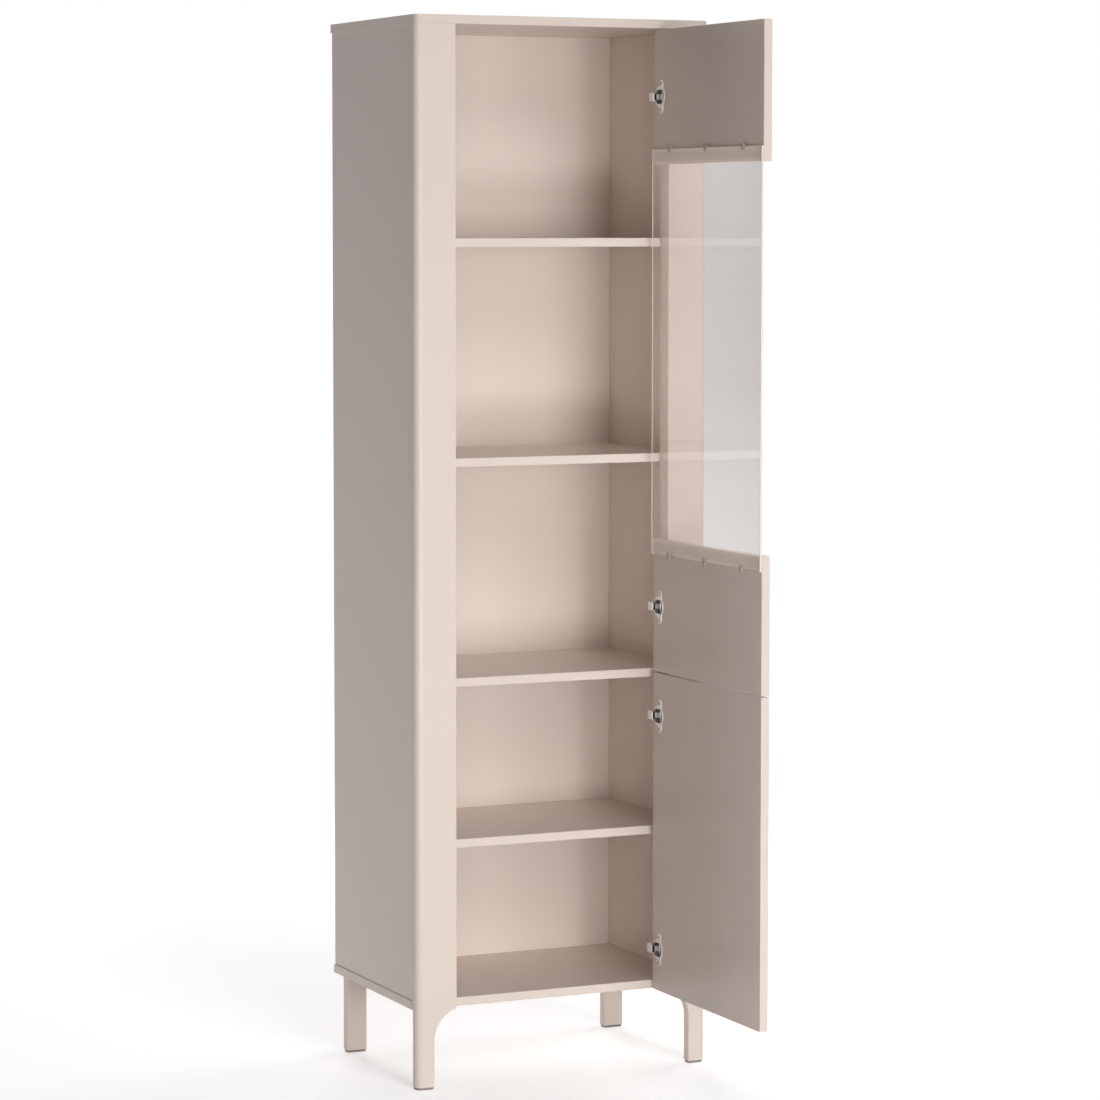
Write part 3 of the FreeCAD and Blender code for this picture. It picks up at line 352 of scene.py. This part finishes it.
def makeCoilTree():
    # a coil of round wire, standing on its XY plane
    tree, given, result = makeTree("coilRow", ("Radius", "Wire", "Length", "Turns"))
    path = addNode(tree, "GeometryNodeCurveSpiral", {
        "Resolution": treeDetail["coilSteps"], "Rotations": given["Turns"], "Height": given["Length"],
        "Start Radius": given["Radius"], "End Radius": given["Radius"]})
    wire = addNode(tree, "GeometryNodeCurvePrimitiveCircle", {
        "Resolution": treeDetail["wireSides"], "Radius": given["Wire"]}, mode="RADIUS")
    coil = addNode(tree, "GeometryNodeCurveToMesh", {
        "Curve": path.outputs["Curve"], "Profile Curve": wire.outputs["Curve"], "Fill Caps": True})
    soft = addNode(tree, "GeometryNodeSetShadeSmooth", {
        "Geometry": coil.outputs["Mesh"], "Shade Smooth": True})
    return finishTree(tree, given, result, soft.outputs["Geometry"])


plateTree = makePlateTree()
buttonTree = makeButtonTree()
coilTree = makeCoilTree()
singleRow = {"Count": 1, "Pair Count": 1}


def plainMesh(carrier):
    # what the carrier's modifiers make, with the carrier itself taken away
    view = bpy.context.evaluated_depsgraph_get()
    mesh = bpy.data.meshes.new_from_object(carrier.evaluated_get(view))
    bpy.data.objects.remove(carrier)
    return mesh


def addObject(name, data):
    thing = bpy.data.objects.new(name, data)
    scene.collection.objects.link(thing)
    return thing


def addPiece(name, mesh, body, stands=()):
    piece = addObject(name, mesh)
    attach(piece, body)
    if stands:
        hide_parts(*stands)
    return piece


def makeRow(name, tree, sizes, material, body, stands=()):
    seed = addObject(name + "Seed", bpy.data.meshes.new(name + "Seed"))
    modifier = seed.modifiers.new("row", "NODES")
    modifier.node_group = tree
    values = {**singleRow, **sizes, "Material": material}
    for item in tree.interface.items_tree:
        if item.in_out == "INPUT" and item.name in values:
            modifier[item.identifier] = values[item.name]
    return addPiece(name, plainMesh(seed), body, stands)


# Softened copies of the hardware, whose edges catch the light

softEdge = {"merge": 2e-6, "flatBend": math.radians(1.0), "sharpBend": math.radians(40.0),
            "segments": 2, "profile": 0.6, "creaseBend": math.radians(50.0)}


def softCopy(name, node, bevel, lining=None):
    work = bmesh.new()
    work.from_mesh(nodes[node].data)
    bmesh.ops.remove_doubles(work, verts=work.verts, dist=softEdge["merge"])
    bmesh.ops.dissolve_limit(work, angle_limit=softEdge["flatBend"], verts=work.verts, edges=work.edges)
    sharp = [e for e in work.edges if len(e.link_faces) == 2 and e.calc_face_angle() > softEdge["sharpBend"]]
    bmesh.ops.bevel(work, geom=sharp, offset=bevel, segments=softEdge["segments"],
                    profile=softEdge["profile"], affect="EDGES", clamp_overlap=True)
    bmesh.ops.triangulate(work, faces=[f for f in work.faces if len(f.verts) > 4])
    work.normal_update()
    for face in work.faces:
        face.smooth = True
        # second finish: painted shade inside the hinge cups, and the ground edge on the glass pane
        if lining and lining["holds"](face):
            face.material_index = 1
    mesh = bpy.data.meshes.new(name)
    work.to_mesh(mesh)
    work.free()
    mesh.attributes.remove(mesh.attributes["custom_normal"])  # the solid's own normals no longer fit
    mesh.set_sharp_from_angle(angle=softEdge["creaseBend"])
    mesh.materials.append(finishes[slotOf[node]])
    if lining:
        mesh.materials.append(lining["material"])
    carrier = addObject("carrier", mesh)
    carrier.modifiers.new("weigh", "WEIGHTED_NORMAL").keep_sharp = True  # flat faces stay flat beside bevels
    addPiece(name, plainMesh(carrier), bodyOf[node], (node,))


def corners(node):
    low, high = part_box(node)
    return Vector(low), Vector(high)


def middle(node):
    low, high = corners(node)
    return (low + high) / 2


def softName(node):
    return "soft" + "".join(word.capitalize() for word in node.split("_"))


softened = {
    "hinge_cup": 0.0003, "hinge_arm": 0.0002, "hinge_plate": 0.0004, "latch_housing": 0.0006,
    "latch_plunger": 0.0007, "front_leg_glides": 0.0008, "rear_leg_glides": 0.0008, "shelf_pins": 0.0004,
    "shelf_cams": 0.0003, "leg_screw_caps": 0.0003, "glass_pane": 0.0004,
}
cupShadeSpan = {"bore": 0.0167, "sink": 0.0002}
paneRim = {"facing": 0.6}
doorFace = corners("lower_door_panel")[0].x


def cupShade(node):
    # painted shade: the faces inside the hinge cup get a darker steel that stands in for the shade in its hollow
    axis = middle(node)

    def holds(face):
        spot = face.calc_center_median()
        reach = math.hypot(spot.y - axis.y, spot.z - axis.z)
        return spot.x > doorFace + cupShadeSpan["sink"] and reach < cupShadeSpan["bore"]

    return {"material": darkSteel, "holds": holds}


def paneEdge(node):
    # the pane's narrow sides are ground, not polished
    return {"material": groundEdge, "holds": lambda face: abs(face.normal.x) < paneRim["facing"]}


secondFinish = {"hinge_cup": cupShade, "glass_pane": paneEdge}
for node in list(nodes):
    for kind, bevel in softened.items():
        if node.startswith(kind):
            second = secondFinish[kind](node) if kind in secondFinish else None
            softCopy(softName(node), node, bevel, second)
print("hardware softened")


# Bonding strips, a little thinner than their gap so that light gets in beside them

stripPiece = {"thickness": 0.0003, "corner": 0.002}


def makeStrips(look):
    low, high = corners("glass_tape_bottom")
    centre = middle("glass_tape_bottom")
    rise = middle("glass_tape_top").z - centre.z
    makeRow("bondingStrips", plateTree, {
        "Width": high.z - low.z, "Length": high.y - low.y, "Corner": look["corner"],
        "Thickness": look["thickness"], "Count": 2, "Step": (0.0, 0.0, rise),
        "Start": (centre.x - look["thickness"] / 2, centre.y, centre.z), "Turn": (0.0, quarterTurn, 0.0),
    }, finishes["bonding_strip"], "upper_door", ("glass_tape_top", "glass_tape_bottom"))


# Glass clips, low domes over the edges of the pane

clipPiece = {"count": 3, "radius": 0.007, "rim": 0.0008, "dome": 0.0011, "stemRadius": 0.0032,
             "gap": 0.00005}


def makeClips(look):
    low, high = corners("glass_clips")
    pane = corners("glass_pane")[0].x
    reach = high - low - Vector((0.0, 1.0, 1.0)) * 2 * look["radius"]
    makeRow("glassClips", buttonTree, {
        "Radius": look["radius"], "Rim": look["rim"], "Dome": look["dome"],
        "Stem Radius": look["stemRadius"], "Stem": doorFace - pane,
        "Count": look["count"], "Step": (0.0, reach.y / (look["count"] - 1), 0.0),
        "Pair Count": 2, "Pair Step": (0.0, 0.0, reach.z),
        "Start": (pane - look["gap"], low.y + look["radius"], low.z + look["radius"]),
        "Turn": (0.0, -quarterTurn, 0.0),
    }, finishes["clip_plastic"], "upper_door", ("glass_clips", "glass_clip_screws"))


# Links of the hinges, and near-black bars beside the arms that are painted shade, placed from the pivot

leverPiece = {"length": 0.013, "width": 0.0042, "corner": 0.002, "thickness": 0.001, "rise": 0.0057,
              "shift": (-0.0003, -0.0045)}
shadeBarPiece = {"width": 0.004, "height": 0.0124, "corner": 0.0012, "thickness": 0.00105, "gap": 0.00005,
               "shift": (-0.0144, -0.0008)}


def jointNamed(name):
    return next(joint for joint in frame["joints"] if joint["name"] == name)


def makeHingeBits(door, lever, bumper):
    pivot = Vector(jointNamed(door + "_door_hinge")["pos_m"])
    low = middle("hinge_arm_%s_bottom" % door).z
    rise = middle("hinge_arm_%s_top" % door).z - low
    makeRow("hingeLevers" + door.capitalize(), plateTree, {
        "Width": lever["width"], "Length": lever["length"], "Corner": lever["corner"],
        "Thickness": lever["thickness"], "Count": 2, "Step": (0.0, 0.0, rise),
        "Pair Count": 2, "Pair Step": (0.0, 0.0, 2 * lever["rise"] + lever["thickness"]),
        "Start": (pivot.x + lever["shift"][0], pivot.y + lever["shift"][1],
                  low - lever["rise"] - lever["thickness"]),
    }, finishes["nickel"], door + "_door")
    # painted shade: a near-black plate that stands in for the shadowed side of each arm
    makeRow("armBumpers" + door.capitalize(), plateTree, {
        "Width": bumper["width"], "Length": bumper["height"], "Corner": bumper["corner"],
        "Thickness": bumper["thickness"], "Count": 2, "Step": (0.0, 0.0, rise),
        "Start": (pivot.x + bumper["shift"][0], pivot.y + bumper["shift"][1] - bumper["gap"], low),
        "Turn": (quarterTurn, 0.0, 0.0),
    }, darkPlastic, "carcass")


# Latch springs, as coils of round wire

coilPiece = {"wire": 0.00035, "turns": 6.5}


def makeSpring(door, look):
    node = "latch_spring_" + door
    low, high = corners(node)
    centre = middle(node)
    length = high.y - low.y
    spring = makeRow("latchCoil" + door.capitalize(), coilTree, {
        "Radius": (high.x - low.x) / 2 - look["wire"], "Wire": look["wire"], "Turns": look["turns"],
        "Length": length - 2 * look["wire"],
        "Start": (centre.x, low.y + look["wire"], centre.z), "Turn": (-quarterTurn, 0.0, 0.0),
    }, finishes[slotOf[node]], "carcass", (node,))
    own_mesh(spring)


makeStrips(stripPiece)
makeClips(clipPiece)
for door in ("upper", "lower"):
    makeHingeBits(door, leverPiece, shadeBarPiece)
    makeSpring(door, coilPiece)
print("clips, strips, hinge bits and springs made")


# Floor and background, white where they are seen and a little greyer through glass

worldLook = {"ambient": 0.055, "throughGlass": 0.62}
stageLook = {"size": 60.0, "drop": 0.0002, "albedo": 0.88, "edgeAlbedo": 0.15, "lift": 0.48,
             "fadeFrom": 1.2, "fadeTo": 4.0, "throughGlass": 0.80, "throughFrom": 10.0}
squareTurn = ((-0.5, -0.5), (0.5, -0.5), (0.5, 0.5), (-0.5, 0.5))


def seenDirectly(tree, throughGlass):
    # one where the camera sees a surface straight or in a gloss, the given value through glass
    path = addNode(tree, "ShaderNodeLightPath").outputs
    straight = addMath(tree, "MAXIMUM", path["Is Camera Ray"], path["Is Glossy Ray"])
    seen = addMath(tree, "MAXIMUM", straight, path["Is Transmission Ray"])
    return addMath(tree, "MULTIPLY", seen, addRange(tree, path["Is Transmission Ray"], 1.0, throughGlass))


def makeSheet(name, wide, high, place):
    mesh = bpy.data.meshes.new(name)
    mesh.from_pydata([(x * wide, y * high, 0.0) for x, y in squareTurn], [], [(0, 1, 2, 3)])
    mesh.transform(place)
    return addObject(name, mesh)


def makeFloor(look):
    place = Matrix.Translation((0.0, 0.0, -look["drop"]))
    floor = makeSheet("studioFloor", look["size"], look["size"], place)
    material, tree, shader, output = newMaterial("paleFloor")
    tree.nodes.remove(shader)
    spot = addNode(tree, "ShaderNodeTexCoord").outputs["Object"]
    reach = addNode(tree, "ShaderNodeVectorMath", {0: spot}, operation="LENGTH").outputs["Value"]
    clear = addRange(tree, reach, look["throughGlass"], worldLook["throughGlass"],
                     look["throughFrom"], look["size"] / 2)
    shown = seenDirectly(tree, clear)
    far = addRange(tree, reach, 0.0, 1.0, look["fadeFrom"], look["fadeTo"], interpolation_type="SMOOTHSTEP")
    unseen = addMath(tree, "SUBTRACT", 1.0, shown)
    paper = addRange(tree, addMath(tree, "MULTIPLY", far, unseen), look["albedo"], look["edgeAlbedo"])
    diffuse = addNode(tree, "ShaderNodeBsdfDiffuse", {"Color": paper})
    glow = addNode(tree, "ShaderNodeEmission", {"Strength": addMath(tree, "MULTIPLY", shown, look["lift"])})
    near = addNode(tree, "ShaderNodeAddShader", {0: diffuse.outputs[0], 1: glow.outputs[0]})
    white = addNode(tree, "ShaderNodeEmission", {"Strength": shown})
    fade = addMath(tree, "MULTIPLY", addMath(tree, "CEIL", shown), far)
    mix = addNode(tree, "ShaderNodeMixShader", {0: fade, 1: near.outputs[0], 2: white.outputs[0]})
    tree.links.new(mix.outputs[0], output.inputs["Surface"])
    floor.data.materials.append(material)


def makeWorld(look):
    world = bpy.data.worlds.new("studioWorld")
    world.use_nodes = True
    scene.world = world
    tree = world.node_tree
    strength = addMath(tree, "MAXIMUM", seenDirectly(tree, look["throughGlass"]), look["ambient"])
    background = tree.nodes["Background"]
    background.inputs["Color"].default_value = (1.0, 1.0, 1.0, 1.0)
    tree.links.new(strength, background.inputs["Strength"])


# Lamps, and bright cards that only lacquer and satin metal reflect

lightAim = (0.0, 0.1, 0.9)
plainWhite = (1.0, 1.0, 1.0)
warmWhite = (1.0, 0.955, 0.88)
mauveWhite = (1.0, 0.91, 0.98)
lamps = {
    "highFront": {"place": (0.3, -8.0, 6.0), "size": (3.0, 3.0), "power": 184.0, "colour": plainWhite},
    "levelFront": {"place": (0.7, -9.0, 1.2), "size": (3.0, 2.0), "power": 197.0, "colour": plainWhite},
    "lowFront": {"place": (-0.9, -3.3, 0.35), "size": (2.4, 0.6), "power": 36.0, "colour": plainWhite},
    "nearLeft": {"place": (-1.0, -4.6, 1.6), "size": (2.0, 2.4), "power": 35.0, "colour": warmWhite},
    "lowRearLeft": {"place": (-3.2, 2.4, 0.3), "size": (2.0, 0.5), "power": 33.0, "colour": mauveWhite},
    "rear": {"place": (1.0, 5.0, 2.2), "size": (2.4, 2.4), "power": 110.0, "colour": plainWhite},
    "right": {"place": (4.0, 1.6, 2.2), "size": (2.4, 2.4), "power": 70.0, "colour": plainWhite},
    "overTop": {"place": (0.0, 0.8, 6.5), "size": (2.0, 2.0), "power": 25.0, "colour": plainWhite},
}
cards = {
    "lowCard": dict(lamps["lowFront"], glow=3.0),
    "leftCard": dict(lamps["nearLeft"], glow=1.9),
    "stripCard": {"place": (-0.2, -6.0, 1.0), "size": (0.5, 2.4), "glow": 38.0, "colour": plainWhite},
}


def aimed(look):
    turn = (Vector(lightAim) - Vector(look["place"])).to_track_quat("-Z", "Y")
    return Matrix.LocRotScale(Vector(look["place"]), turn, None)


def makeLamp(name, look):
    light = bpy.data.lights.new(name, "AREA")
    light.shape = "RECTANGLE"
    light.size, light.size_y = look["size"]
    light.energy = look["power"]
    light.color = look["colour"]
    lamp = addObject(name, light)
    lamp.matrix_world = aimed(look)
    lamp.visible_glossy = False
    lamp.visible_transmission = False


def makeCard(name, look):
    # mirrored rays get nothing from it, so it never shows as a shape in the glass
    card = makeSheet(name, *look["size"], aimed(look))
    for kind in ("camera", "diffuse", "transmission", "volume_scatter", "shadow"):
        setattr(card, "visible_" + kind, False)
    material, tree, shader, output = newMaterial(name)
    tree.nodes.remove(shader)
    material.cycles.emission_sampling = "FRONT_BACK"
    mirrored = addNode(tree, "ShaderNodeLightPath").outputs["Is Singular Ray"]
    glow = addNode(tree, "ShaderNodeEmission", {
        "Color": (*look["colour"], 1.0), "Strength": addRange(tree, mirrored, look["glow"], 0.0)})
    tree.links.new(glow.outputs[0], output.inputs["Surface"])
    card.data.materials.append(material)


# Camera, at the photograph's viewing angle

viewLook = {
    "place": (-2.9279, -6.2458, 1.5751), "yaw": 24.43, "pitch": -4.22,
    "lens": 123.48, "sensor": 36.0, "shift": (0.0282, -0.0430), "farthest": 200.0,
}


def makeCamera(look):
    data = bpy.data.cameras.new("photoView")
    data.sensor_width = look["sensor"]
    data.lens = look["lens"]
    data.shift_x, data.shift_y = look["shift"]
    data.clip_end = look["farthest"]
    camera = addObject("photoView", data)
    camera.location = look["place"]
    camera.rotation_euler = (quarterTurn + math.radians(look["pitch"]), 0.0, -math.radians(look["yaw"]))
    scene.camera = camera


makeFloor(stageLook)
makeWorld(worldLook)
for name, look in lamps.items():
    makeLamp(name, look)
for name, look in cards.items():
    makeCard(name, look)
makeCamera(viewLook)
scene.view_settings.view_transform = "Standard"
print("floor, light and camera set")
